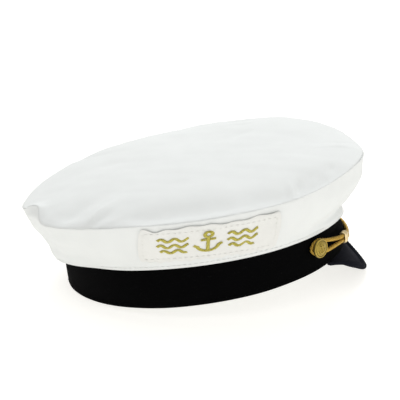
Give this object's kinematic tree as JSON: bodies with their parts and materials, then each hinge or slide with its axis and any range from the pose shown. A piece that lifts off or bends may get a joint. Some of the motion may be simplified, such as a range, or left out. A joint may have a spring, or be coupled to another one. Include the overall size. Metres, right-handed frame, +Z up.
{
  "type": "sailor cap",
  "caption": "Soft white sailor cap with a stiff black head band, short cloth peak, gold chin cord held by buttons and sliding keepers, and a sewn label patch.",
  "frame": {"origin": "middle of the cap's outline on the surface that it rests on", "axes": "+Z up off the surface, -Y out over the peak, -X towards the wearer's right, the side with the label patch"},
  "size_m": [0.2106, 0.2496, 0.0974],
  "materials": {
    "white_cloth": "matte white cotton twill",
    "label_cloth": "plain white cotton with gold embroidery",
    "black_cloth": "matte black felted cloth over a stiff core",
    "navy_cloth": "matte navy cloth",
    "gold_cord": "twisted metallic thread",
    "gold_metal": "satin gold plate",
    "pale_gold": "bright pale gold plate"
  },
  "bodies": {
    "root": {"crown_top": "white_cloth", "crown_side": "white_cloth", "hat_band": "black_cloth", "peak": "navy_cloth", "peak_binding": "navy_cloth", "chin_cord": "gold_cord", "button_right": "gold_metal", "button_left": "gold_metal", "keeper_right": "pale_gold", "keeper_left": "pale_gold", "label_patch": "label_cloth"}
  },
  "joints": []
}
